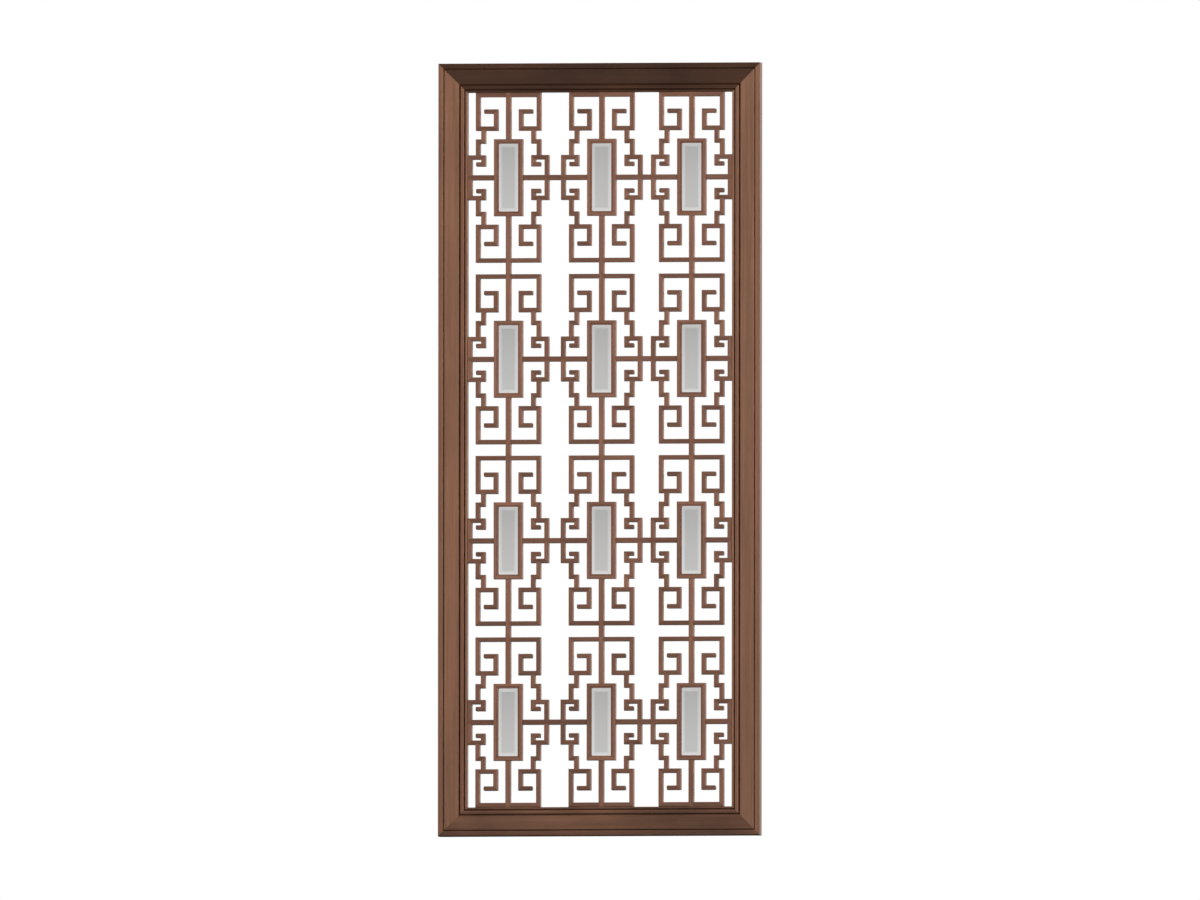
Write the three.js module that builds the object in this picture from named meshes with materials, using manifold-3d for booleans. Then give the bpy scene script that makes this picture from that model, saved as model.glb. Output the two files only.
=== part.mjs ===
// Key-fret lattice panel in stained wood: a mitred moulded frame, twelve fret motifs and twelve bevelled panes.
// Millimetres, +Z up. The origin is the middle of the bottom edge, and the moulded front faces -Y.
import * as THREE from "three";
import { ConvexGeometry } from "three/addons/geometries/ConvexGeometry.js";
import { mergeVertices } from "three/addons/utils/BufferGeometryUtils.js";
import Module from "manifold-3d";

// Overall size
const PANEL_WIDTH = 1007;
const PANEL_HEIGHT = 2400;
const FRAME_DEPTH = 50;
const FRAME_FACE = 90;

// Clearance left between touching pieces, and how flat neighbouring facets are when they merge into one
const GAP = 0.3;
const MERGE_TOLERANCE = 0.001;

// Frame moulding, as distances in from the outer edge and depths behind the foremost plane
const OUTER_ROUND = 4;
const OUTER_GROOVE = 17.5;
const MIDDLE_GROOVE = 66.5;
const INNER_GROOVE = 81.5;
const GROOVE_HALF_WIDTH = 2.6;
const GROOVE_EASE = 1.4;
const GROOVE_DROP = 5;
const FACE_START_DEPTH = 0.8;
const FACE_END_DEPTH = 13;
const INNER_BEAD_DEPTH = 11.5;
const LIP_DEPTH = 13;
const LIP_ROUND = 2;
const BEAD_CROWN = 1.2;
const CURVE_SEGMENTS = 3;

// Sticks of the fretwork
const STICK = 13.8;
const MAIN_STICK = 16;
const FRET_FRONT = 14;
const FRET_DEPTH = 32;

// Motif, as centre lines out from the middle of its pane
const SIDE_X = 120;
const RING_X = 95;
const LINK_X = 78;
const HOOK_X = 39;
const BIG_HOOK_END_X = 76;
const SMALL_HOOK_END_X = 101;
const RING_Z = 257;
const BIG_HOOK_TIP_Z = 205.5;
const BIG_HOOK_Z = 152.5;
const STEP_Z = 112.5;
const SMALL_HOOK_Z = 63;
const SMALL_HOOK_TIP_Z = 41.5;

// Layout of the motifs
const COLUMNS = 3;
const ROWS = 4;
const MIDDLE_COLUMN_SHIFT = 5;

// Pane frames and panes
const PANE_FRAME_WIDTH = 90;
const PANE_FRAME_HEIGHT = 239;
const PANE_FRAME_BAR = 14.5;
const PANE_FRAME_FRONT = 12;
const PANE_SEAT = 4;
const PANE_THICKNESS = 6;
const PANE_EDGE_THICKNESS = 2.5;
const PANE_BEVEL = 15;
const PANE_FRONT = 18;

// Worked-out sizes
const FRONT_Y = -FRAME_DEPTH / 2;
const OPENING_WIDTH = PANEL_WIDTH - 2 * FRAME_FACE;
const OPENING_HEIGHT = PANEL_HEIGHT - 2 * FRAME_FACE;
const FRET_BACK = FRET_FRONT + FRET_DEPTH;
const OUTER_COLUMN_X = OPENING_WIDTH / 2 - GAP - SIDE_X - STICK / 2;
const COLUMN_X = [-OUTER_COLUMN_X, MIDDLE_COLUMN_SHIFT, OUTER_COLUMN_X];
const ROW_PITCH = (OPENING_HEIGHT - 2 * (GAP + RING_Z + STICK / 2)) / (ROWS - 1);
const rowZ = (row) => PANEL_HEIGHT / 2 + ROW_PITCH * ((ROWS - 1) / 2 - row);

const frameWood = new THREE.MeshStandardMaterial({ color: 0x855b47, roughness: 0.45, metalness: 0 });
const fretWood = new THREE.MeshStandardMaterial({ color: 0x725245, roughness: 0.5, metalness: 0 });
const paneGlass = new THREE.MeshStandardMaterial({ color: 0xb8b7b6, roughness: 0.05, metalness: 0 });

const wasm = await Module();
wasm.setup();

function toSolid(geometry) {
  const bare = geometry.clone();
  bare.deleteAttribute("normal");
  bare.deleteAttribute("uv");
  const merged = mergeVertices(bare);
  return new wasm.Manifold(new wasm.Mesh({
    numProp: 3,
    vertProperties: Float32Array.from(merged.attributes.position.array),
    triVerts: Uint32Array.from(merged.index.array),
  }));
}

function toGeometry(solid) {
  const mesh = solid.getMesh();
  const geometry = new THREE.BufferGeometry();
  geometry.setAttribute("position", new THREE.BufferAttribute(Float32Array.from(mesh.vertProperties), 3));
  geometry.setIndex(new THREE.BufferAttribute(Uint32Array.from(mesh.triVerts), 1));
  const faceted = geometry.toNonIndexed();
  faceted.computeVertexNormals();
  return faceted;
}

// A block between two corners in the panel's face, from one depth to another
function block([x0, z0], [x1, z1], front, back) {
  const geometry = new THREE.BoxGeometry(Math.abs(x1 - x0), back - front, Math.abs(z1 - z0));
  geometry.translate((x0 + x1) / 2, FRONT_Y + (front + back) / 2, (z0 + z1) / 2);
  return toSolid(geometry);
}

// A V groove across the moulding, with eased edges that meet the faces on either side of it
function groove(outline, centre, before, after) {
  const bottom = Math.max(before, after) + GROOVE_DROP;
  outline.lineTo(centre - GROOVE_HALF_WIDTH - GROOVE_EASE, before);
  outline.lineTo(centre - GROOVE_HALF_WIDTH, before + GROOVE_EASE);
  outline.lineTo(centre, bottom);
  outline.lineTo(centre + GROOVE_HALF_WIDTH, after + GROOVE_EASE);
  outline.lineTo(centre + GROOVE_HALF_WIDTH + GROOVE_EASE, after);
}

// The moulding's section: x runs in from the outer edge, y back from the foremost plane
function mouldingSection() {
  const outline = new THREE.Shape();
  outline.moveTo(0, FRAME_DEPTH);
  outline.lineTo(0, OUTER_ROUND);
  outline.quadraticCurveTo(0, 0, OUTER_ROUND, 0);
  groove(outline, OUTER_GROOVE, 0, FACE_START_DEPTH);
  groove(outline, MIDDLE_GROOVE, FACE_END_DEPTH, INNER_BEAD_DEPTH);
  const beadStart = MIDDLE_GROOVE + GROOVE_HALF_WIDTH + GROOVE_EASE;
  const beadEnd = INNER_GROOVE - GROOVE_HALF_WIDTH - GROOVE_EASE;
  outline.quadraticCurveTo((beadStart + beadEnd) / 2, INNER_BEAD_DEPTH - BEAD_CROWN, beadEnd, INNER_BEAD_DEPTH);
  groove(outline, INNER_GROOVE, INNER_BEAD_DEPTH, LIP_DEPTH);
  outline.lineTo(FRAME_FACE - LIP_ROUND, LIP_DEPTH);
  outline.quadraticCurveTo(FRAME_FACE, LIP_DEPTH, FRAME_FACE, LIP_DEPTH + LIP_ROUND);
  outline.lineTo(FRAME_FACE, FRAME_DEPTH);
  outline.closePath();
  return outline;
}

// A length of moulding with both ends mitred: each end point moves in by its distance from the outer edge
function mitredMember(length) {
  const geometry = new THREE.ExtrudeGeometry(mouldingSection(), {
    depth: length,
    bevelEnabled: false,
    curveSegments: CURVE_SEGMENTS,
  });
  const points = geometry.attributes.position;
  for (let i = 0; i < points.count; i += 1) {
    const inset = points.getX(i) + GAP;
    points.setZ(i, points.getZ(i) > length / 2 ? length - inset : inset);
  }
  geometry.computeVertexNormals();
  return geometry;
}

function makeFrame() {
  const members = [
    ["frame_stile_left", PANEL_HEIGHT, -PANEL_WIDTH / 2, 0, 0],
    ["frame_stile_right", PANEL_HEIGHT, PANEL_WIDTH / 2, PANEL_HEIGHT, Math.PI],
    ["frame_rail_top", PANEL_WIDTH, -PANEL_WIDTH / 2, PANEL_HEIGHT, Math.PI / 2],
    ["frame_rail_bottom", PANEL_WIDTH, PANEL_WIDTH / 2, 0, -Math.PI / 2],
  ];
  return members.map(([name, length, x, z, turn]) => {
    const mesh = new THREE.Mesh(mitredMember(length), frameWood);
    mesh.name = name;
    mesh.position.set(x, FRONT_Y, z);
    mesh.rotation.y = turn;
    return mesh;
  });
}

// One straight stick between two points on its centre line, run past each point by its own overlap
function stick([x0, z0], [x1, z1], width, startOver, endOver) {
  const half = width / 2;
  if (z0 === z1) {
    const along = Math.sign(x1 - x0);
    return block([x0 - along * startOver, z0 - half], [x1 + along * endOver, z0 + half], FRET_FRONT, FRET_BACK);
  }
  const along = Math.sign(z1 - z0);
  return block([x0 - half, z0 - along * startOver], [x0 + half, z1 + along * endOver], FRET_FRONT, FRET_BACK);
}

// Sticks end to end along a stepped path. Corners are filled, and the last point is a free end or a joint.
function chain(path) {
  const last = path.length - 2;
  return path.slice(0, -1).map((point, i) => {
    const startOver = i === 0 ? 0 : STICK / 2;
    const endOver = i === last ? 0 : STICK / 2;
    return stick(point, path[i + 1], STICK, startOver, endOver);
  });
}

// Stepped paths of the upper right quarter of a motif
const QUARTER_PATHS = [
  [[0, RING_Z], [RING_X, RING_Z], [RING_X, BIG_HOOK_Z], [HOOK_X, BIG_HOOK_Z], [HOOK_X, BIG_HOOK_TIP_Z],
    [BIG_HOOK_END_X, BIG_HOOK_TIP_Z]],
  [[LINK_X, BIG_HOOK_Z], [LINK_X, STEP_Z], [RING_X, STEP_Z], [RING_X, SMALL_HOOK_Z]],
  [[SIDE_X, 0], [SIDE_X, SMALL_HOOK_Z], [LINK_X, SMALL_HOOK_Z], [LINK_X, SMALL_HOOK_TIP_Z],
    [SMALL_HOOK_END_X, SMALL_HOOK_TIP_Z]],
];

// The grille that every motif shares: four mirrored quarters, the stem and the cross bar up to the pane frame
function makeMotif() {
  const bars = [];
  for (const side of [-1, 1]) {
    for (const level of [-1, 1]) {
      for (const path of QUARTER_PATHS) {
        bars.push(...chain(path.map(([x, z]) => [side * x, level * z])));
      }
    }
    const paneTop = PANE_FRAME_HEIGHT / 2 + GAP;
    const paneSide = PANE_FRAME_WIDTH / 2 + GAP;
    bars.push(stick([0, side * paneTop], [0, side * RING_Z], MAIN_STICK, 0, STICK / 2));
    bars.push(stick([side * paneSide, 0], [side * SIDE_X, 0], MAIN_STICK, 0, STICK / 2));
  }
  return bars.reduce((whole, bar) => whole.add(bar));
}

// A motif with the stem that goes on to the row below and the cross bar that goes on to the next column
function makeFret(motif, column, row) {
  let solid = motif;
  if (row < ROWS - 1) {
    const below = -(ROW_PITCH - RING_Z - STICK / 2 - GAP);
    solid = solid.add(stick([0, -RING_Z], [0, below], MAIN_STICK, 0, 0));
  }
  if (column < COLUMNS - 1) {
    const beside = COLUMN_X[column + 1] - COLUMN_X[column] - SIDE_X - STICK / 2 - GAP;
    solid = solid.add(stick([SIDE_X, 0], [beside, 0], MAIN_STICK, 0, 0));
  }
  return new THREE.Mesh(toGeometry(solid.asOriginal().simplify(MERGE_TOLERANCE)), fretWood);
}

// Half sizes of the pane frame's clear opening
const SIGHT_X = PANE_FRAME_WIDTH / 2 - PANE_FRAME_BAR;
const SIGHT_Z = PANE_FRAME_HEIGHT / 2 - PANE_FRAME_BAR;

// A small upright frame with a groove round its opening for the pane
function makePaneFrame() {
  const halfX = PANE_FRAME_WIDTH / 2;
  const halfZ = PANE_FRAME_HEIGHT / 2;
  const seatX = SIGHT_X + PANE_SEAT;
  const seatZ = SIGHT_Z + PANE_SEAT;
  const seatFront = PANE_FRONT - GAP;
  const seatBack = PANE_FRONT + PANE_THICKNESS + GAP;
  const body = block([-halfX, -halfZ], [halfX, halfZ], PANE_FRAME_FRONT, FRET_BACK);
  const opening = block([-SIGHT_X, -SIGHT_Z], [SIGHT_X, SIGHT_Z], 0, FRAME_DEPTH);
  const seat = block([-seatX, -seatZ], [seatX, seatZ], seatFront, seatBack);
  return toGeometry(body.subtract(opening).subtract(seat));
}

// A pane with a flat back and a wide bevel round its front
function makePane() {
  const halfX = SIGHT_X + PANE_SEAT - GAP;
  const halfZ = SIGHT_Z + PANE_SEAT - GAP;
  const back = PANE_FRONT + PANE_THICKNESS;
  const rings = [
    [0, back],
    [0, back - PANE_EDGE_THICKNESS],
    [PANE_BEVEL, PANE_FRONT],
  ];
  const corners = [];
  for (const [inset, depth] of rings) {
    for (const side of [-1, 1]) {
      for (const level of [-1, 1]) {
        corners.push(new THREE.Vector3(side * (halfX - inset), FRONT_Y + depth, level * (halfZ - inset)));
      }
    }
  }
  return new ConvexGeometry(corners);
}

function makeLattice() {
  const motif = makeMotif();
  const paneFrame = makePaneFrame();
  const pane = makePane();
  const pieces = [];
  for (let row = 0; row < ROWS; row += 1) {
    for (let column = 0; column < COLUMNS; column += 1) {
      const place = `r${row + 1}_c${column + 1}`;
      const cell = {
        fret: makeFret(motif, column, row),
        pane_frame: new THREE.Mesh(paneFrame, fretWood),
        pane: new THREE.Mesh(pane, paneGlass),
      };
      for (const [kind, mesh] of Object.entries(cell)) {
        mesh.name = `${kind}_${place}`;
        mesh.position.set(COLUMN_X[column], 0, rowZ(row));
        pieces.push(mesh);
      }
    }
  }
  return pieces;
}

const panel = new THREE.Group();
panel.add(...makeFrame(), ...makeLattice());

export default panel;
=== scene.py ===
"""Key-fret lattice panel: moulded frame, glued sticks, pane frames and bevelled grey panes."""
import math
import random

import bmesh
import bpy
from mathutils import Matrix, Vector


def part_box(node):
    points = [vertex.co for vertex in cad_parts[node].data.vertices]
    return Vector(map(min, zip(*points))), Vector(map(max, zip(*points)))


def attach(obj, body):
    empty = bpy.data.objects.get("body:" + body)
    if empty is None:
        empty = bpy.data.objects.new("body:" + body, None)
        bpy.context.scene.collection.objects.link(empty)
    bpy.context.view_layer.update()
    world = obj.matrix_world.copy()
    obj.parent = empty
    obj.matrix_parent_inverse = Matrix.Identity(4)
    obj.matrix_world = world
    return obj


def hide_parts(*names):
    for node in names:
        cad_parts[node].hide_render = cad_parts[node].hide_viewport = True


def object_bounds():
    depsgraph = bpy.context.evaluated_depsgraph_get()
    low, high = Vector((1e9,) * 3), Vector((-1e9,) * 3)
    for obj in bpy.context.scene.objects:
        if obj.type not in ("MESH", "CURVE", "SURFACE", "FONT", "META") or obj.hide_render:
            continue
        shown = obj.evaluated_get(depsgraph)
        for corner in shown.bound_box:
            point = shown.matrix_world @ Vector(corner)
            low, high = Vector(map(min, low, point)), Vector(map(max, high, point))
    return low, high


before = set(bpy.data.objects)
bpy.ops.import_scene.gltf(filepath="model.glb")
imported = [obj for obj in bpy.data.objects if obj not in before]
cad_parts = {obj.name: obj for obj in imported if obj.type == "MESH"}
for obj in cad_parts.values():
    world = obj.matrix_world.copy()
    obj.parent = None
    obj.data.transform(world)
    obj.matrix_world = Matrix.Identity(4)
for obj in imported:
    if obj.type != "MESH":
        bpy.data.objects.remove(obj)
cad_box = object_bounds()

MM = 0.001
ROWS = 4
COLUMNS = 3
SEED = 11

# Sizes that the frame gives
PANEL_LOW, PANEL_HIGH = cad_box
PANEL_WIDTH = PANEL_HIGH.x - PANEL_LOW.x
PANEL_HEIGHT = PANEL_HIGH.z - PANEL_LOW.z
FRAME_DEPTH = PANEL_HIGH.y - PANEL_LOW.y
FRONT_Y = PANEL_LOW.y
STILE_LOW, STILE_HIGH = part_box("frame_stile_left")
FRAME_FACE = STILE_HIGH.x - STILE_LOW.x
FRET_LOW, FRET_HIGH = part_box("fret_r1_c1")
PANE_FRAME_LOW, PANE_FRAME_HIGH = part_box("pane_frame_r1_c1")
PANE_FRAME_SIZE = PANE_FRAME_HIGH - PANE_FRAME_LOW
PANE_LOW, PANE_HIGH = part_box("pane_r1_c1")
PANE_SIZE = PANE_HIGH - PANE_LOW

# Frame moulding, as distances in from the outer edge and depths behind the foremost plane
OUTER_ROUND = 4 * MM
GROOVES = (17.5 * MM, 66.5 * MM, 81.5 * MM)
GROOVE_HALF_WIDTHS = (2.2 * MM, 3.2 * MM, 2.6 * MM)
GROOVE_EASE = 1.4 * MM
GROOVE_DROP = 5 * MM
FACE_START_DEPTH = 0.8 * MM
FACE_END_DEPTH = 13 * MM
INNER_BEAD_DEPTH = 11.5 * MM
INNER_BEAD_CROWN = 1.2 * MM
LIP_DEPTH = 13 * MM
LIP_ROUND = 2 * MM
BACK_EASE = 1.5 * MM

# A groove's walls and floor, as shares of its half width and as depths
GROOVE_WALL_SHARE = 0.7
GROOVE_WALL_DROP = 1.3 * GROOVE_EASE
GROOVE_FLOOR_SHARE = 0.25
GROOVE_FLOOR_RISE = 0.6 * GROOVE_EASE
GROOVE_FLOOR_SAG = 0.4 * MM

# Sticks of the fretwork, and the centre lines of a motif out from the middle of its pane
STICK = 13.8 * MM
MAIN_STICK = 16 * MM
STICK_ROUND = 2.8 * MM
SIDE_X = 120 * MM
RING_X = 95 * MM
LINK_X = 78 * MM
HOOK_X = 39 * MM
BIG_HOOK_END_X = 76 * MM
SMALL_HOOK_END_X = 101 * MM
RING_Z = 257 * MM
BIG_HOOK_TIP_Z = 205.5 * MM
BIG_HOOK_Z = 152.5 * MM
STEP_Z = 112.5 * MM
SMALL_HOOK_Z = 63 * MM
SMALL_HOOK_TIP_Z = 41.5 * MM

# Pane frames. The quirk is measured from the inner side, the bead from the quirk, and depths from the front.
PANE_FRAME_BAR = 14.5 * MM
PANE_SEAT = 4 * MM
SEAT_CLEARANCE = 0.3 * MM
QUIRK_IN = 4.2 * MM
QUIRK_RUN = 1.2 * MM
QUIRK_EASE = 0.3 * MM
QUIRK_DEPTH = 1.8 * MM
PANE_BEAD_GAP = 0.5 * MM
PANE_BEAD_START_DEPTH = 1.4 * MM
PANE_BEAD_CROWN_DEPTH = 0.2 * MM
PANE_BEAD_END_DEPTH = 3.2 * MM

# Panes
PANE_EDGE = 2.5 * MM
PANE_BEVEL = 15 * MM
PANE_STEP = 1.3 * MM
PANE_STEP_RUN = 0.8 * MM
PANE_ARRIS = 0.4 * MM

# Joints: the fine V left where two pieces meet, and the easing of a stick's free end
SEAM = 0.25 * MM
FREE_END_EASE = 2.0 * MM

# Points just past each rounding, which keep the flats beside it flat
MOULDING_SUPPORT = 1.2 * MM
STICK_SUPPORT = 1.0 * MM

# Steps of the curves, and how much large faces count in the shading
EASE_STEPS = 3
ROUND_STEPS = 4
BEAD_STEPS = 6
GROOVE_FLOOR_STEPS = 2
FLAT_FACE_WEIGHT = 100

# How rubbed the edges are, from 0 to 1
EDGE_WEAR = 0.5
BACK_WEAR = 0.4
INNER_BEAD_WEAR = 0.25
LIP_WEAR = 0.8
STICK_WEAR = 0.7
PANE_FRAME_WEAR = 1.0
PANE_BEAD_WEAR = 0.6

# Painted shade in the grooves, the quirk and the pane's seat, on the beads and on the outer sides, from 0 to
# 1, and the boards' shares of it
GROOVE_PAINTED_SHADE = (0.55, 1.0, 0.85)
GROOVE_WALL_SHADE_SHARE = 0.7
INNER_BEAD_PAINTED_SHADE = 0.32
OUTER_SIDE_PAINTED_SHADE = 0.75
OUTER_BEAD_PAINTED_SHADE = 0.22
QUIRK_PAINTED_SHADE = 1.0
PANE_BEAD_PAINTED_SHADE = 0.3
PANE_SEAT_PAINTED_SHADE = 0.6
STILE_SHADE_SHARE = 1.0
RAIL_SHADE_SHARE = 0.3

# Tone and warmth of the frame's boards, against the wood's own colour. The rails' low tones, and the top
# rail's warmth, are painted shade.
LEFT_STILE_STAIN = (0.95, 0.0)
RIGHT_STILE_STAIN = (1.0, -0.03)
TOP_RAIL_PAINTED_SHADE = (0.203, 0.14)
BOTTOM_RAIL_PAINTED_SHADE = (0.53, 0.0)

# Tone of the stems, and of the other upright sticks and the level ones, which are painted darker as shade
STEM_TONE = 1.0
UPRIGHT_PAINTED_SHADE = 0.88
LEVEL_PAINTED_SHADE = 0.7

# How far the small bars stray in tone, and how far their stain leans to red or away from it
STICK_TONE_RANGE = 0.1
PANE_FRAME_TONE_RANGE = 0.08
WARMTH_RANGE = 0.04

# How strongly the stain clouds along the stiles, the rails and the sticks
STILE_CLOUD = 0.2
RAIL_CLOUD = 0.9
STICK_CLOUD = 0.4

# Wood: its middle colours, the dark colour of its painted shade, and its noises in waves to the metre along,
# across and into a bar
FRAME_COLOUR = (0.217, 0.102, 0.059)
FRET_COLOUR = (0.205, 0.096, 0.061)
PAINTED_SHADE_COLOUR = (0.034, 0.012, 0.005)
WHITE = (1.0, 1.0, 1.0)
FIBRE_WAVES = (3.0, 110.0, 110.0)
FIGURE_WAVES = (1.1, 24.0, 24.0)
PORE_WAVES = (38.0, 1500.0, 1500.0)
CLOUD_WAVES = (3.4, 7.0, 7.0)
RUB_WAVES = (14.0, 60.0, 60.0)
GRAIN_OFFSET_RANGE = 40

# Shades of the colour at levels of a noise, and the pores' own colours
WOOD_SHADES = ((0.30, 0.72), (0.47, 0.95), (0.56, 1.06), (0.72, 1.24))
CLOUD_SHADES = ((0.36, 0.72), (0.64, 1.28))
RUB_SHADES = ((0.42, 0.0), (0.66, 1.0))
PORE_COLOURS = ((0.30, (0.62, 0.58, 0.55)), (0.44, WHITE))
RUBBED_SHADE = 1.9
END_GRAIN_SHADE = 0.5

# How much each layer counts in the wood's look
FIBRE_SHARE = 0.6
PORE_STRENGTH = 0.55
RUB_STRENGTH = 0.35
# Painted shade: how far the marked grooves, creases, beads and outer sides go to the dark colour
PAINTED_SHADE_STRENGTH = 0.92
END_GRAIN_STRENGTH = 0.45

# Satin lacquer over the grain
LACQUER_ROUGHNESS = 0.4
FIBRE_ROUGHNESS = 0.18
RUBBED_SMOOTHNESS = 0.08
COAT_WEIGHT = 0.3
COAT_ROUGHNESS = 0.2
WOOD_SPECULAR = 0.32
FIBRE_RELIEF_SHARE = 0.5
GRAIN_BUMP = 0.12
GRAIN_RELIEF = 0.2 * MM

# Grey glass, with painted shade from the bottom of a pane to its top: pale at the bottom, darker at the top
GLASS_ROUGHNESS = 0.01
GLASS_IOR = 1.5
GLASS_PAINTED_SHADES = ((0.10, (1.0, 1.0, 0.995)), (0.50, (0.93, 0.925, 0.92)), (0.90, (0.82, 0.82, 0.815)))
GLASS_BODY_COLOUR = (0.505, 0.5, 0.495)
GLASS_BODY_DENSITY = 205.0
RIPPLE_WAVES = (22.0, 22.0, 22.0)
RIPPLE_BUMP = 0.03
RIPPLE_RELIEF = 0.5 * MM

# Photograph's frame: the picture's width in metres, and the direction that the camera looks from.
# The roll takes out a share of the lean of level lines.
PHOTO_WIDTH = 3.7235
PHOTO_AIM = Vector((0, 0, -1.2 * MM))
VIEW_AZIMUTH = math.radians(7.0)
VIEW_ELEVATION = math.radians(-2.5)
VIEW_ROLL_SHARE = 0.15
VIEW_DISTANCE = 6.0

# Lamps: name, place, size and power
LAMP_AIM = Vector((0, 0, 1.2))
LAMPS = (
    ("key_left", (-5.6, -3.2, 3.0), (2.0, 3.4), 330),
    ("key_right", (5.6, -3.2, 3.0), (2.0, 3.4), 466),
    ("rim_right", (3.4, 2.4, 3.2), (1.6, 2.0), 146),
    ("back_left", (-2.2, 3.0, 4.4), (2.0, 2.0), 130),
)

# Grey of the studio's light, in front and behind. It changes between two levels of the direction's Y.
FRONT_GREY = 0.3
BACK_GREY = 0.4
BACK_GREY_IN_GLOSS = 0.8
BACK_STARTS = -0.15
BACK_IS_FULL = 0.25

# Studio floor, which glows more from near to far
FLOOR_HALF = 14.0
FLOOR_GREY = 0.3
FLOOR_ROUGHNESS = 0.8
FLOOR_NEAR = 1.5
FLOOR_FAR = 9.0
FLOOR_NEAR_GLOW = 0.5
FLOOR_FAR_GLOW = 1.0

# Sockets of a colour mix node: its factor, its two colours and its result
MIX_INPUTS = (0, 6, 7)
MIX_RESULT = 2


# Geometry helpers

def quad_curve(start, control, end, steps):
    """Points along a quadratic curve, ends included."""
    points = []
    for i in range(steps + 1):
        t = i / steps
        a, b, c = (1 - t) ** 2, 2 * t * (1 - t), t ** 2
        points.append(tuple(a * p + b * q + c * r for p, q, r in zip(start, control, end)))
    return points


def marked(points, wear=0.0, painted_shade=0.0):
    """Section points with how rubbed they are and how much painted shade they take."""
    return [(across, depth, wear, painted_shade) for across, depth in points]


def rubbed(curve, wear, painted_shade=0.0, ends=1):
    """A rounding's points, rubbed between the points at its two ends."""
    middle = marked(curve[ends:-ends], wear=wear, painted_shade=painted_shade)
    return marked(curve[:ends], painted_shade=painted_shade) + middle + marked(curve[-ends:], painted_shade=painted_shade)


def bar_line(centre, start, end):
    """A bar's origin, its directions along and across, and its length, from two points round a centre."""
    (x0, z0), (x1, z1) = start, end
    length = math.hypot(x1 - x0, z1 - z0)
    along = Vector((x1 - x0, 0, z1 - z0)) / length
    across = Vector((-along.z, 0, along.x))
    return Vector((centre.x + x0, 0, centre.z + z0)), along, across, length


def grain_offset(rng):
    """Where a piece starts in the noises, so that no two look alike."""
    return [rng.uniform(0, GRAIN_OFFSET_RANGE) for _ in range(3)]


def add_object(name, data):
    """A new object in the scene."""
    made = bpy.data.objects.new(name, data)
    bpy.context.scene.collection.objects.link(made)
    return made


class Builder:
    """Gathers swept bars into one mesh, and keeps on every vertex what the wood's look needs."""

    def __init__(self):
        self.points = []
        self.faces = []
        self.grain = []
        self.tone = []
        self.cloud = []
        self.wear = []
        self.painted_shade = []
        self.end = []

    def sweep(self, section, line, cuts, rng, look):
        """Adds one bar. line is what bar_line gives, and look is the bar's tone, with any painted shade, its
        warmth and clouding.

        The two cuts are (slope, ease): the cut's lean across the bar, and the easing of its edge."""
        origin, along, across, length = line
        (start_slope, start_ease), (end_slope, end_ease) = cuts
        tone, warmth, cloud = look
        depths = [point[1] for point in section]
        wide = max(abs(point[0]) for point in section)
        deep = max(abs(depth - depths[0]) for depth in depths)
        mid = (max(depths) + min(depths)) / 2
        offset = grain_offset(rng)
        tint_and_shade = (tone, tone * (1 - warmth), tone * (1 - 2 * warmth))
        rings = [
            (start_ease, 0.0, start_slope, 1.0),
            (0.0, start_ease, start_slope, 0.0),
            (0.0, length - end_ease, -end_slope, 0.0),
            (end_ease, length, -end_slope, 1.0),
        ]
        first = len(self.points)
        count = len(section)
        for inset, distance, slope, is_end in rings:
            for side, depth, wear, painted_shade in section:
                side_in = side * (1 - inset / wide)
                depth_in = mid + (depth - mid) * (1 - 2 * inset / deep)
                run = distance + slope * side_in
                self.points.append(origin + along * run + across * side_in + Vector((0, depth_in, 0)))
                self.grain.append((run + offset[0], side_in + offset[1], depth_in + offset[2]))
                self.tone.append(tint_and_shade)
                self.cloud.append(cloud)
                self.wear.append(wear)
                self.painted_shade.append(painted_shade)
                self.end.append(is_end)
        for ring in range(len(rings) - 1):
            base = first + ring * count
            for i in range(count):
                j = (i + 1) % count
                self.faces.append((base + i, base + j, base + count + j, base + count + i))
        last = first + (len(rings) - 1) * count
        self.faces.append(tuple(first + i for i in reversed(range(count))))
        self.faces.append(tuple(last + i for i in range(count)))

    def finish(self, name, material):
        """The gathered bars as one object."""
        mesh = bpy.data.meshes.new(name)
        mesh.from_pydata(self.points, [], self.faces)
        for label in ("grain", "tone"):
            layer = mesh.attributes.new(label, "FLOAT_VECTOR", "POINT")
            layer.data.foreach_set("vector", [c for v in getattr(self, label) for c in v])
        for label in ("cloud", "wear", "painted_shade", "end"):
            layer = mesh.attributes.new(label, "FLOAT", "POINT")
            layer.data.foreach_set("value", getattr(self, label))
        mesh.shade_smooth()
        shape = bmesh.new()
        shape.from_mesh(mesh)
        bmesh.ops.recalc_face_normals(shape, faces=shape.faces)
        shape.to_mesh(mesh)
        shape.free()
        mesh.materials.append(material)
        piece = add_object(name, mesh)
        shading = piece.modifiers.new("flat_faces", "WEIGHTED_NORMAL")
        shading.weight = FLAT_FACE_WEIGHT
        return piece


def dress(piece, node):
    """A piece that stands for one CAD node and rides on the panel."""
    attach(piece, "root")
    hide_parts(node)


# Node helpers

def new_material(name):
    """A material, its nodes and its shader."""
    material = bpy.data.materials.new(name)
    material.use_nodes = True
    tree = material.node_tree
    return material, tree, tree.nodes["Principled BSDF"]


def link(tree, source, target):
    """Links one node's output to another's input."""
    tree.links.new(source, target)


def feed(tree, value, socket):
    """Sets an input to a number or colour, or links another node's output to it."""
    if isinstance(value, bpy.types.NodeSocket):
        link(tree, value, socket)
    else:
        socket.default_value = value


def add_node(tree, kind, **settings):
    """A new node with its settings."""
    made = tree.nodes.new(kind)
    for key, value in settings.items():
        setattr(made, key, value)
    return made


def attribute(tree, name, output):
    """A value that the mesh keeps on its vertices."""
    return add_node(tree, "ShaderNodeAttribute", attribute_name=name).outputs[output]


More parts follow.
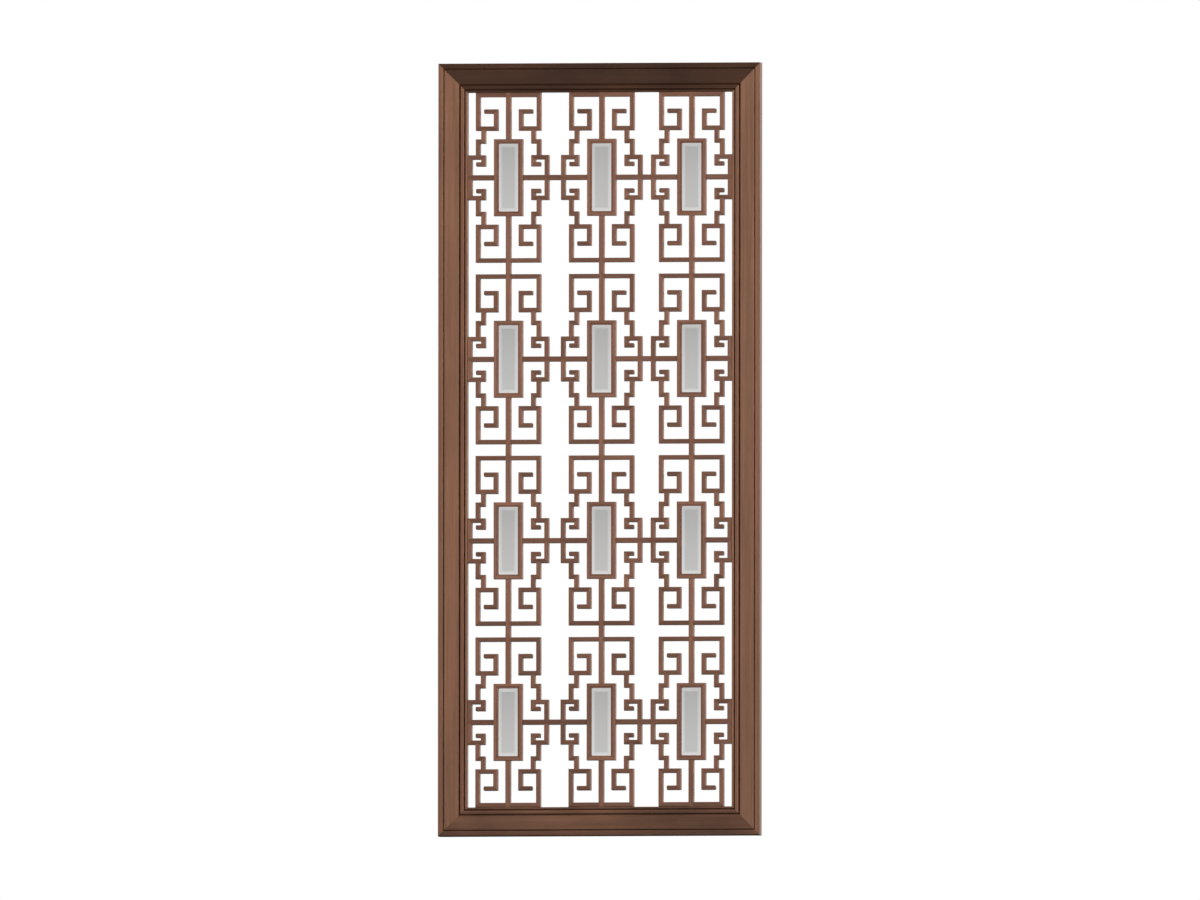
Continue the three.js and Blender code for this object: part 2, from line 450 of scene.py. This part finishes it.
def math_node(tree, operation, a, b):
    """The result of a sum, product or the like."""
    made = add_node(tree, "ShaderNodeMath", operation=operation)
    for socket, value in zip(made.inputs, (a, b)):
        feed(tree, value, socket)
    return made.outputs[0]


def weighted(tree, a, b, share):
    """The first value by its share, and the second by the rest."""
    return math_node(tree, "ADD", math_node(tree, "MULTIPLY", a, share),
                     math_node(tree, "MULTIPLY", b, 1 - share))


def mix_colour(tree, factor, a, b, blend="MIX"):
    """Two colours mixed by a factor."""
    made = add_node(tree, "ShaderNodeMix", data_type="RGBA", blend_type=blend)
    for number, value in zip(MIX_INPUTS, (factor, a, b)):
        feed(tree, value, made.inputs[number])
    return made.outputs[MIX_RESULT]


def stretched_noise(tree, vector, waves, detail, roughness, distortion=0.0):
    """Noise along a bar's own length, width and depth, with its own scale on each."""
    stretch = add_node(tree, "ShaderNodeVectorMath", operation="MULTIPLY")
    link(tree, vector, stretch.inputs[0])
    stretch.inputs[1].default_value = waves
    noise = add_node(tree, "ShaderNodeTexNoise")
    link(tree, stretch.outputs[0], noise.inputs["Vector"])
    noise.inputs["Scale"].default_value = 1.0
    noise.inputs["Detail"].default_value = detail
    noise.inputs["Roughness"].default_value = roughness
    noise.inputs["Distortion"].default_value = distortion
    return noise.outputs["Fac"]


def ramp(tree, factor, stops):
    """Colours at levels of a factor. A new stop stands anywhere until it gets its level."""
    made = add_node(tree, "ShaderNodeValToRGB")
    elements = made.color_ramp.elements
    while len(elements) < len(stops):
        elements.new(0.5)
    for element, (level, colour) in zip(elements, stops):
        element.position = level
        element.color = opaque(colour)
    link(tree, factor, made.inputs["Fac"])
    return made.outputs["Color"]


def smooth_range(tree, value, low, high, low_result, high_result):
    """A result that runs smoothly between two values."""
    made = add_node(tree, "ShaderNodeMapRange", interpolation_type="SMOOTHSTEP")
    link(tree, value, made.inputs["Value"])
    made.inputs["From Min"].default_value = low
    made.inputs["From Max"].default_value = high
    made.inputs["To Min"].default_value = low_result
    made.inputs["To Max"].default_value = high_result
    return made.outputs[0]


def add_bump(tree, shader, height, strength, relief):
    """A fine relief on a shader's surface."""
    bump = add_node(tree, "ShaderNodeBump")
    bump.inputs["Strength"].default_value = strength
    bump.inputs["Distance"].default_value = relief
    link(tree, height, bump.inputs["Height"])
    link(tree, bump.outputs["Normal"], shader.inputs["Normal"])


def opaque(colour):
    """A colour with a full alpha."""
    return (*colour, 1.0)


def shade(colour, factor):
    """A colour made lighter or darker."""
    return tuple(c * factor for c in colour)


def shades(colour, stops):
    """Stops of a ramp, from levels and shades of one colour."""
    return [(level, shade(colour, factor)) for level, factor in stops]


# Materials

def wood(name, colour):
    """Stained, lacquered wood, with fibres and pores along each bar and rubbed edges. Painted shade darkens
    the grooves, creases, beads and outer sides, and the tones of some boards and sticks.
    """
    material, tree, shader = new_material(name)
    grain = attribute(tree, "grain", "Vector")
    fibres = stretched_noise(tree, grain, FIBRE_WAVES, detail=6, roughness=0.62, distortion=0.4)
    figure = stretched_noise(tree, grain, FIGURE_WAVES, detail=3, roughness=0.5, distortion=1.2)
    pores = stretched_noise(tree, grain, PORE_WAVES, detail=2, roughness=0.5)
    clouds = stretched_noise(tree, grain, CLOUD_WAVES, detail=2, roughness=0.5)
    rub = stretched_noise(tree, grain, RUB_WAVES, detail=4, roughness=0.6)

    stain_and_shade = ramp(tree, weighted(tree, fibres, figure, FIBRE_SHARE), shades(colour, WOOD_SHADES))
    stain_and_shade = mix_colour(tree, PORE_STRENGTH, stain_and_shade, ramp(tree, pores, PORE_COLOURS), "MULTIPLY")
    cloud_tone = ramp(tree, clouds, shades(WHITE, CLOUD_SHADES))
    stain_and_shade = mix_colour(tree, attribute(tree, "cloud", "Fac"), stain_and_shade, cloud_tone, "MULTIPLY")
    # Each bar's tone; on the rails and on the level and thinner sticks it is painted shade
    stain_and_shade = mix_colour(tree, 1.0, stain_and_shade, attribute(tree, "tone", "Color"), "MULTIPLY")
    rub_mask = ramp(tree, rub, shades(WHITE, RUB_SHADES))
    wear = math_node(tree, "MULTIPLY", attribute(tree, "wear", "Fac"), rub_mask)
    pale = math_node(tree, "MULTIPLY", wear, RUB_STRENGTH)
    stain_and_shade = mix_colour(tree, pale, stain_and_shade, opaque(shade(colour, RUBBED_SHADE)))
    # Painted shade in the grooves, creases, beads and outer sides
    painted_shade = math_node(tree, "MULTIPLY", attribute(tree, "painted_shade", "Fac"), PAINTED_SHADE_STRENGTH)
    stain_and_shade = mix_colour(tree, painted_shade, stain_and_shade, opaque(PAINTED_SHADE_COLOUR))
    end = math_node(tree, "MULTIPLY", attribute(tree, "end", "Fac"), END_GRAIN_STRENGTH)
    stain_and_shade = mix_colour(tree, end, stain_and_shade, opaque(shade(colour, END_GRAIN_SHADE)))
    link(tree, stain_and_shade, shader.inputs["Base Color"])

    matt = math_node(tree, "MULTIPLY", fibres, FIBRE_ROUGHNESS)
    matt = math_node(tree, "ADD", matt, LACQUER_ROUGHNESS)
    matt = math_node(tree, "SUBTRACT", matt, math_node(tree, "MULTIPLY", wear, RUBBED_SMOOTHNESS))
    link(tree, matt, shader.inputs["Roughness"])
    relief = weighted(tree, fibres, pores, FIBRE_RELIEF_SHARE)
    add_bump(tree, shader, relief, GRAIN_BUMP, GRAIN_RELIEF)
    shader.inputs["Coat Weight"].default_value = COAT_WEIGHT
    shader.inputs["Coat Roughness"].default_value = COAT_ROUGHNESS
    shader.inputs["Specular IOR Level"].default_value = WOOD_SPECULAR
    return material


def grey_glass(name):
    """Grey glass, tinted through its thickness so that the thin bevel is paler, and painted darker to its
    top as shade.
    """
    material, tree, shader = new_material(name)
    shader.inputs["Roughness"].default_value = GLASS_ROUGHNESS
    shader.inputs["IOR"].default_value = GLASS_IOR
    shader.inputs["Transmission Weight"].default_value = 1.0
    # Painted shade: each pane's colour darkens from its bottom to its top
    link(tree, ramp(tree, attribute(tree, "rise", "Fac"), GLASS_PAINTED_SHADES), shader.inputs["Base Color"])
    grain = attribute(tree, "grain", "Vector")
    ripple = stretched_noise(tree, grain, RIPPLE_WAVES, detail=1, roughness=0.4)
    add_bump(tree, shader, ripple, RIPPLE_BUMP, RIPPLE_RELIEF)
    body = add_node(tree, "ShaderNodeVolumeAbsorption")
    body.inputs["Color"].default_value = opaque(GLASS_BODY_COLOUR)
    body.inputs["Density"].default_value = GLASS_BODY_DENSITY
    link(tree, body.outputs["Volume"], tree.nodes["Material Output"].inputs["Volume"])
    return material


# Frame

def groove_edges(number):
    """Where a groove's eased shoulders start and end."""
    reach = GROOVE_HALF_WIDTHS[number] + GROOVE_EASE
    return GROOVES[number] - reach, GROOVES[number] + reach


def groove_points(number, before, after):
    """A V groove with eased shoulders, painted dark as shade at its bottom and on its walls."""
    centre, half, painted_shade = GROOVES[number], GROOVE_HALF_WIDTHS[number], GROOVE_PAINTED_SHADE[number]
    start, end = groove_edges(number)
    wall, flat = half * GROOVE_WALL_SHARE, half * GROOVE_FLOOR_SHARE
    bottom = max(before, after) + GROOVE_DROP
    rim = bottom - GROOVE_FLOOR_RISE
    left_wall = (centre - wall, before + GROOVE_WALL_DROP)
    right_wall = (centre + wall, after + GROOVE_WALL_DROP)
    left = quad_curve((start, before), (centre - half, before), left_wall, ROUND_STEPS)
    right = quad_curve(right_wall, (centre + half, after), (end, after), ROUND_STEPS)
    lowest = (centre, bottom + GROOVE_FLOOR_SAG)
    hollow = quad_curve((centre - flat, rim), lowest, (centre + flat, rim), GROOVE_FLOOR_STEPS)
    # Painted shade on the groove's walls and floor
    wall_shade = GROOVE_WALL_SHADE_SHARE * painted_shade
    section = marked(left[:1]) + marked(left[1:3], wear=EDGE_WEAR) + marked(left[3:], painted_shade=wall_shade)
    section += marked(hollow, painted_shade=painted_shade)
    section += marked(right[:2], painted_shade=wall_shade) + marked(right[2:4], wear=EDGE_WEAR) + marked(right[4:])
    return section


def moulding_section():
    """The frame's section: distance in from the outer edge, depth, how rubbed it is and how much painted
    shade it takes.
    """
    face, back = FRAME_FACE, FRAME_DEPTH
    side_end = back - BACK_EASE
    outer_back = quad_curve((BACK_EASE, back), (0, back), (0, side_end), EASE_STEPS)
    outer_side = [(0, side_end - MOULDING_SUPPORT), (0, OUTER_ROUND + MOULDING_SUPPORT)]
    outer_edge = quad_curve((0, OUTER_ROUND), (0, 0), (OUTER_ROUND, 0), BEAD_STEPS)
    section = marked(outer_back, wear=BACK_WEAR)
    # Painted shade on the outer side and the outer bead
    section += marked(outer_side, painted_shade=OUTER_SIDE_PAINTED_SHADE)
    section += rubbed(outer_edge, EDGE_WEAR, OUTER_BEAD_PAINTED_SHADE, ends=2)
    section += marked([(OUTER_ROUND + MOULDING_SUPPORT, 0)], painted_shade=OUTER_BEAD_PAINTED_SHADE)
    section += groove_points(0, 0, FACE_START_DEPTH)

    face_start, face_end = groove_edges(0)[1], groove_edges(1)[0]
    slope = (FACE_END_DEPTH - FACE_START_DEPTH) / (face_end - face_start)
    section += marked([(face_start + MOULDING_SUPPORT, FACE_START_DEPTH + slope * MOULDING_SUPPORT),
                       (face_end - MOULDING_SUPPORT, FACE_END_DEPTH - slope * MOULDING_SUPPORT)])
    section += groove_points(1, FACE_END_DEPTH, INNER_BEAD_DEPTH)

    bead_start, bead_end = groove_edges(1)[1], groove_edges(2)[0]
    crown = ((bead_start + bead_end) / 2, INNER_BEAD_DEPTH - INNER_BEAD_CROWN)
    bead = quad_curve((bead_start, INNER_BEAD_DEPTH), crown, (bead_end, INNER_BEAD_DEPTH), BEAD_STEPS)
    # Painted shade on the inner bead
    section += marked(bead[1:-1], wear=INNER_BEAD_WEAR, painted_shade=INNER_BEAD_PAINTED_SHADE)
    section += groove_points(2, INNER_BEAD_DEPTH, LIP_DEPTH)

    lip_end = LIP_DEPTH + LIP_ROUND
    lip = quad_curve((face - LIP_ROUND, LIP_DEPTH), (face, LIP_DEPTH), (face, lip_end), ROUND_STEPS)
    inner_back = quad_curve((face, side_end), (face, back), (face - BACK_EASE, back), EASE_STEPS)
    section += rubbed(lip, LIP_WEAR)
    section += marked([(face, lip_end + MOULDING_SUPPORT), (face, side_end - MOULDING_SUPPORT)])
    section += marked(inner_back, wear=BACK_WEAR)
    section += marked([(face - BACK_EASE - MOULDING_SUPPORT, back), (BACK_EASE + MOULDING_SUPPORT, back)])
    return [(across, FRONT_Y + depth, wear, painted_shade) for across, depth, wear, painted_shade in section]


def make_frame(material):
    """Four lengths of moulding, mitred at the corners, the rails painted darker as shade. A darker board's
    rubbed edges are less pale.
    """
    section = moulding_section()
    left, right = PANEL_LOW.x, PANEL_HIGH.x
    bottom, top = PANEL_LOW.z, PANEL_HIGH.z
    x_axis, z_axis = Vector((1, 0, 0)), Vector((0, 0, 1))
    members = [
        ("left_stile", "frame_stile_left", (left, bottom), z_axis, x_axis, LEFT_STILE_STAIN),
        ("right_stile", "frame_stile_right", (right, bottom), z_axis, -x_axis, RIGHT_STILE_STAIN),
        ("top_rail", "frame_rail_top", (left, top), x_axis, -z_axis, TOP_RAIL_PAINTED_SHADE),
        ("bottom_rail", "frame_rail_bottom", (left, bottom), x_axis, z_axis, BOTTOM_RAIL_PAINTED_SHADE),
    ]
    mitre = (1, SEAM)
    rng = random.Random(SEED)
    for name, cad_node, (x, z), along, across, (tone, warmth) in members:
        upright = along == z_axis
        length = PANEL_HEIGHT if upright else PANEL_WIDTH
        # The rails take less of the painted shade in their grooves
        shade_share = STILE_SHADE_SHARE if upright else RAIL_SHADE_SHARE
        cloud = STILE_CLOUD if upright else RAIL_CLOUD
        # Each board's tone, which is painted shade on the rails, also dims its rubbed edges
        stain_and_shade = [(side, depth, wear * tone, painted_shade * shade_share) for side, depth, wear, painted_shade in section]
        line = (Vector((x, 0, z)), along, across, length)
        builder = Builder()
        builder.sweep(stain_and_shade, line, (mitre, mitre), rng, (tone, warmth, cloud))
        dress(builder.finish(name, material), cad_node)


# Fretwork

def stick_section(width):
    """A square stick's section with rounded arrises, centred across."""
    front, back = FRET_LOW.y, FRET_HIGH.y
    half = width / 2
    past_round = STICK_ROUND + STICK_SUPPORT
    section = []
    corners = [(-half, front, 1, 1), (half, front, -1, 1), (half, back, -1, -1), (-half, back, 1, -1)]
    for i, (side, depth, inward, behind) in enumerate(corners):
        on_side = (side, depth + behind * STICK_ROUND)
        on_face = (side + inward * STICK_ROUND, depth)
        side_support = (side, depth + behind * past_round)
        face_support = (side + inward * past_round, depth)
        curve = quad_curve(on_side, (side, depth), on_face, ROUND_STEPS)
        arris = marked([side_support]) + rubbed(curve, STICK_WEAR) + marked([face_support])
        section += arris if i % 2 == 0 else arris[::-1]
    return section


def turn(a, b):
    """Which way a path turns from one direction to the next: 1 to the left, -1 to the right."""
    return a[0] * b[1] - a[1] * b[0]


def path_sticks(path, width, start_trim, end_trim):
    """Straight sticks along a stepped path, mitred at its corners.

    Each is (start, end, width, start cut, end cut). An end trim of None leaves a free end."""
    steps = []
    for (x0, z0), (x1, z1) in zip(path, path[1:]):
        length = math.hypot(x1 - x0, z1 - z0)
        steps.append(((x1 - x0) / length, (z1 - z0) / length))
    sticks = []
    for i, (dx, dz) in enumerate(steps):
        first, last = i == 0, i == len(steps) - 1
        (x0, z0), (x1, z1) = path[i], path[i + 1]
        if first:
            x0, z0 = x0 + dx * start_trim, z0 + dz * start_trim
        if last and end_trim is not None:
            x1, z1 = x1 - dx * end_trim, z1 - dz * end_trim
        start_cut = (0, SEAM) if first else (turn(steps[i - 1], (dx, dz)), SEAM)
        end_cut = (0, SEAM) if last else (turn((dx, dz), steps[i + 1]), SEAM)
        if last and end_trim is None:
            end_cut = (0, FREE_END_EASE)
        sticks.append(((x0, z0), (x1, z1), width, start_cut, end_cut))
    return sticks


def quarter_paths():
    """Stepped paths of a motif's upper right quarter, with what is trimmed off at either end.

    A stick that meets another's side is coped to its rounded arris, so it reaches in by the round."""
    stick_side, main_side = STICK / 2 - STICK_ROUND, MAIN_STICK / 2 - STICK_ROUND
    ring_and_big_hook = [
        (0, RING_Z),
        (RING_X, RING_Z),
        (RING_X, BIG_HOOK_Z),
        (HOOK_X, BIG_HOOK_Z),
        (HOOK_X, BIG_HOOK_TIP_Z),
        (BIG_HOOK_END_X, BIG_HOOK_TIP_Z),
    ]
    stepped_link = [
        (LINK_X, BIG_HOOK_Z),
        (LINK_X, STEP_Z),
        (RING_X, STEP_Z),
        (RING_X, SMALL_HOOK_Z),
    ]
    side_and_small_hook = [
        (SIDE_X, 0),
        (SIDE_X, SMALL_HOOK_Z),
        (LINK_X, SMALL_HOOK_Z),
        (LINK_X, SMALL_HOOK_TIP_Z),
        (SMALL_HOOK_END_X, SMALL_HOOK_TIP_Z),
    ]
    return [
        (ring_and_big_hook, main_side, None),
        (stepped_link, stick_side, stick_side),
        (side_and_small_hook, main_side, None),
    ]


def motif_sticks(reach_right, reach_down):
    """All sticks of one motif. The cross bar and the stem go on to the neighbours by the reaches given."""
    sticks = []
    for side in (-1, 1):
        for level in (-1, 1):
            for path, start_trim, end_trim in quarter_paths():
                mirrored = [(side * x, level * z) for x, z in path]
                sticks += path_sticks(mirrored, STICK, start_trim, end_trim)
    pane_side, pane_end = PANE_FRAME_SIZE.x / 2, PANE_FRAME_SIZE.z / 2
    outer_x, outer_z = SIDE_X + STICK / 2, RING_Z + STICK / 2
    for path in (
        [(0, pane_end), (0, outer_z)],
        [(0, -pane_end), (0, -reach_down)],
        [(-pane_side, 0), (-outer_x, 0)],
        [(pane_side, 0), (reach_right, 0)],
    ):
        sticks += path_sticks(path, MAIN_STICK, 0, 0)
    return sticks


def make_fret(place, centre, sections, material, rng):
    """The glued sticks of one motif, each with its own grain and tone, and painted shade by its width and
    direction.
    """
    low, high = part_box(f"fret_{place}")
    builder = Builder()
    for start, end, width, start_cut, end_cut in motif_sticks(high.x - centre.x, centre.z - low.z):
        line = bar_line(centre, start, end)
        along = line[1]
        # Painted shade: thinner upright sticks darker than the stems, level sticks darker still
        upright_shade = STEM_TONE if width == MAIN_STICK else UPRIGHT_PAINTED_SHADE
        orientation_shade = upright_shade if abs(along.z) > abs(along.x) else LEVEL_PAINTED_SHADE
        tone = rng.uniform(1 - STICK_TONE_RANGE, 1 + STICK_TONE_RANGE) * orientation_shade
        warmth = rng.uniform(-WARMTH_RANGE, WARMTH_RANGE)
        builder.sweep(sections[width], line, (start_cut, end_cut), rng, (tone, warmth, STICK_CLOUD))
    dress(builder.finish(f"fretwork_{place}", material), f"fret_{place}")


# Pane frames and panes

def pane_frame_section():
    """The small frame's section, outer side first, with eased arrises, an inner bead and the pane's seat,
    and painted shade in the quirk, at the bead's foot and on the seat.
    """
    half = PANE_FRAME_BAR / 2
    front, back = PANE_FRAME_LOW.y, PANE_FRAME_HIGH.y
    seat_front, seat_back = PANE_LOW.y - SEAT_CLEARANCE, PANE_HIGH.y + SEAT_CLEARANCE
    front_round, back_round = front + STICK_ROUND, back - STICK_ROUND
    inner_round, outer_round = half - STICK_ROUND, -half + STICK_ROUND
    outer_front = quad_curve((-half, front_round), (-half, front), (outer_round, front), EASE_STEPS)
    section = marked([(-half, front_round + STICK_SUPPORT)]) + rubbed(outer_front, PANE_FRAME_WEAR)
    section += marked([(outer_round + STICK_SUPPORT, front)])

    quirk = half - QUIRK_IN
    section += marked([(quirk - QUIRK_RUN, front)])
    section += marked([(quirk - QUIRK_RUN / 2, front + QUIRK_EASE)], wear=EDGE_WEAR)
    # Painted shade in the quirk, at the bead's foot and on the pane's seat
    section += marked([(quirk, front + QUIRK_DEPTH)], painted_shade=QUIRK_PAINTED_SHADE)
    bead_start = (quirk + PANE_BEAD_GAP, front + PANE_BEAD_START_DEPTH)
    bead_crown = (half, front + PANE_BEAD_CROWN_DEPTH)
    bead_end = (half, front + PANE_BEAD_END_DEPTH)
    bead = quad_curve(bead_start, bead_crown, bead_end, ROUND_STEPS)
    section += marked(bead[:1], painted_shade=PANE_BEAD_PAINTED_SHADE)
    section += marked(bead[1:-1], wear=PANE_BEAD_WEAR) + marked(bead[-1:])
    section += marked([(half, seat_front), (half - PANE_SEAT, seat_front)], painted_shade=PANE_SEAT_PAINTED_SHADE)
    section += marked([(half - PANE_SEAT, seat_back), (half, seat_back)], painted_shade=PANE_SEAT_PAINTED_SHADE)

    inner_back = quad_curve((half, back_round), (half, back), (inner_round, back), EASE_STEPS)
    outer_back = quad_curve((outer_round, back), (-half, back), (-half, back_round), EASE_STEPS)
    section += marked([(half, back_round - STICK_SUPPORT)]) + marked(inner_back, wear=BACK_WEAR)
    section += marked([(inner_round - STICK_SUPPORT, back), (outer_round + STICK_SUPPORT, back)])
    section += marked(outer_back, wear=BACK_WEAR) + marked([(-half, back_round - STICK_SUPPORT)])
    return section


def make_pane_frame(place, centre, section, material, rng):
    """Four mitred bars round the pane."""
    x = PANE_FRAME_SIZE.x / 2 - PANE_FRAME_BAR / 2
    z = PANE_FRAME_SIZE.z / 2 - PANE_FRAME_BAR / 2
    corners = [(-x, -z), (x, -z), (x, z), (-x, z)]
    mitre = (1, SEAM)
    builder = Builder()
    for start, end in zip(corners, corners[1:] + corners[:1]):
        tone = rng.uniform(1 - PANE_FRAME_TONE_RANGE, 1 + PANE_FRAME_TONE_RANGE)
        warmth = rng.uniform(-WARMTH_RANGE, WARMTH_RANGE)
        line = bar_line(centre, start, end)
        builder.sweep(section, line, (mitre, mitre), rng, (tone, warmth, STICK_CLOUD))
    dress(builder.finish(f"glazing_frame_{place}", material), f"pane_frame_{place}")


def make_pane(place, centre, material, rng):
    """A pane with a polished, slightly sunk bevel round its front, a flat back and eased edges."""
    half_x, half_z = PANE_SIZE.x / 2, PANE_SIZE.z / 2
    front, back = PANE_LOW.y, PANE_HIGH.y
    rings = [
        (PANE_ARRIS, back),
        (0.0, back - PANE_ARRIS),
        (0.0, back - PANE_EDGE + PANE_ARRIS),
        (PANE_ARRIS, back - PANE_EDGE),
        (PANE_BEVEL, front + PANE_STEP),
        (PANE_BEVEL + PANE_STEP_RUN, front),
    ]
    corners = ((-1, -1), (1, -1), (1, 1), (-1, 1))
    offset = Vector(grain_offset(rng))
    shape = bmesh.new()
    loops = []
    for inset, depth in rings:
        x, z = half_x - inset, half_z - inset
        loops.append([shape.verts.new((centre.x + side * x, depth, centre.z + level * z))
                      for side, level in corners])
    for lower, upper in zip(loops, loops[1:]):
        for i in range(len(corners)):
            j = (i + 1) % len(corners)
            shape.faces.new((lower[i], lower[j], upper[j], upper[i]))
    shape.faces.new(loops[0])
    shape.faces.new(loops[-1])
    bmesh.ops.recalc_face_normals(shape, faces=shape.faces)
    name = f"glass_{place}"
    mesh = bpy.data.meshes.new(name)
    shape.to_mesh(mesh)
    shape.free()
    rise = mesh.attributes.new("rise", "FLOAT", "POINT")
    rise.data.foreach_set("value", [(v.co.z - centre.z + half_z) / PANE_SIZE.z for v in mesh.vertices])
    grain = mesh.attributes.new("grain", "FLOAT_VECTOR", "POINT")
    grain.data.foreach_set("vector", [c for v in mesh.vertices for c in v.co + offset])
    mesh.materials.append(material)
    dress(add_object(name, mesh), f"pane_{place}")


def make_lattice(fret_material, glass_material):
    """The frets, pane frames and panes, row by row from the top left."""
    rng = random.Random(SEED + 1)
    stick_sections = {width: stick_section(width) for width in (STICK, MAIN_STICK)}
    pane_frame = pane_frame_section()
    for row in range(ROWS):
        for column in range(COLUMNS):
            place = f"r{row + 1}_c{column + 1}"
            low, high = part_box(f"pane_frame_{place}")
            centre = (low + high) / 2
            make_fret(place, centre, stick_sections, fret_material, rng)
            make_pane_frame(place, centre, pane_frame, fret_material, rng)
            make_pane(place, centre, glass_material, rng)


# Stage

def make_camera():
    """A parallel view of the front, from slightly right of and below the middle."""
    data = bpy.data.cameras.new("camera")
    data.type = "ORTHO"
    data.ortho_scale = PHOTO_WIDTH
    camera = add_object("camera", data)
    aim = (PANEL_LOW + PANEL_HIGH) / 2 + PHOTO_AIM
    right, forward = math.sin(VIEW_AZIMUTH), math.cos(VIEW_AZIMUTH)
    level, rise = math.cos(VIEW_ELEVATION), math.sin(VIEW_ELEVATION)
    away = Vector((right * level, -forward * level, rise))
    camera.location = aim + away * VIEW_DISTANCE
    camera.rotation_euler = (-away).to_track_quat("-Z", "Y").to_euler()
    roll = right * rise * VIEW_ROLL_SHARE
    camera.rotation_euler.rotate_axis("Z", -roll)
    bpy.context.scene.camera = camera


def make_lights():
    """Soft lamps that show in no reflection or pane, so that lacquer and glass show the studio alone."""
    for name, place, (width, height), power in LAMPS:
        data = bpy.data.lights.new(name, "AREA")
        data.shape = "RECTANGLE"
        data.size = width
        data.size_y = height
        data.energy = power
        lamp = add_object(name, data)
        lamp.location = place
        lamp.rotation_euler = (LAMP_AIM - Vector(place)).to_track_quat("-Z", "Y").to_euler()
        lamp.visible_glossy = False
        lamp.visible_transmission = False


def seen_ray(tree):
    """1 for what is looked at, directly or through glass, and 0 for light on its way to a surface."""
    path = add_node(tree, "ShaderNodeLightPath").outputs
    return math_node(tree, "MAXIMUM", path["Is Camera Ray"], path["Is Transmission Ray"])


def make_world():
    """White all round the panel to look at. As light it is grey, dimmer in front, and brighter in gloss."""
    world = bpy.data.worlds.new("studio")
    bpy.context.scene.world = world
    world.use_nodes = True
    tree = world.node_tree
    direction = add_node(tree, "ShaderNodeSeparateXYZ")
    link(tree, add_node(tree, "ShaderNodeTexCoord").outputs["Generated"], direction.inputs[0])
    behind = smooth_range(tree, direction.outputs["Y"], BACK_STARTS, BACK_IS_FULL, 0.0, 1.0)
    glossy = add_node(tree, "ShaderNodeLightPath").outputs["Is Glossy Ray"]
    front_grey, back_grey, gloss_grey = (
        opaque(shade(WHITE, level)) for level in (FRONT_GREY, BACK_GREY, BACK_GREY_IN_GLOSS)
    )
    light = mix_colour(tree, behind, front_grey, mix_colour(tree, glossy, back_grey, gloss_grey))
    shown = mix_colour(tree, seen_ray(tree), light, opaque(WHITE))
    link(tree, shown, tree.nodes["Background"].inputs["Color"])


def make_floor():
    """A pale floor that runs out into the white round it. It is clear from below, for the upward view."""
    half = FLOOR_HALF
    corners = [(-half, -half, 0), (half, -half, 0), (half, half, 0), (-half, half, 0)]
    mesh = bpy.data.meshes.new("floor")
    mesh.from_pydata(corners, [], [(0, 1, 2, 3)])
    floor = add_object("floor", mesh)
    material, tree, shader = new_material("floor")
    shader.inputs["Roughness"].default_value = FLOOR_ROUGHNESS
    shader.inputs["Specular IOR Level"].default_value = 0.0
    shader.inputs["Base Color"].default_value = opaque(shade(WHITE, FLOOR_GREY))
    shader.inputs["Emission Color"].default_value = opaque(WHITE)
    geometry = add_node(tree, "ShaderNodeNewGeometry").outputs
    reach = add_node(tree, "ShaderNodeVectorMath", operation="LENGTH")
    link(tree, geometry["Position"], reach.inputs[0])
    distance = reach.outputs["Value"]
    glow = smooth_range(tree, distance, FLOOR_NEAR, FLOOR_FAR, FLOOR_NEAR_GLOW, FLOOR_FAR_GLOW)
    seen_glow = math_node(tree, "MULTIPLY", glow, seen_ray(tree))
    link(tree, seen_glow, shader.inputs["Emission Strength"])
    clear = add_node(tree, "ShaderNodeBsdfTransparent")
    one_sided = add_node(tree, "ShaderNodeMixShader")
    link(tree, geometry["Backfacing"], one_sided.inputs[0])
    link(tree, shader.outputs[0], one_sided.inputs[1])
    link(tree, clear.outputs[0], one_sided.inputs[2])
    link(tree, one_sided.outputs[0], tree.nodes["Material Output"].inputs["Surface"])
    mesh.materials.append(material)


make_camera()
make_lights()
make_world()
make_floor()
make_frame(wood("frame_wood_satin", FRAME_COLOUR))
make_lattice(wood("fret_wood_satin", FRET_COLOUR), grey_glass("grey_glass_bevelled"))
bpy.context.scene.view_settings.view_transform = "Standard"
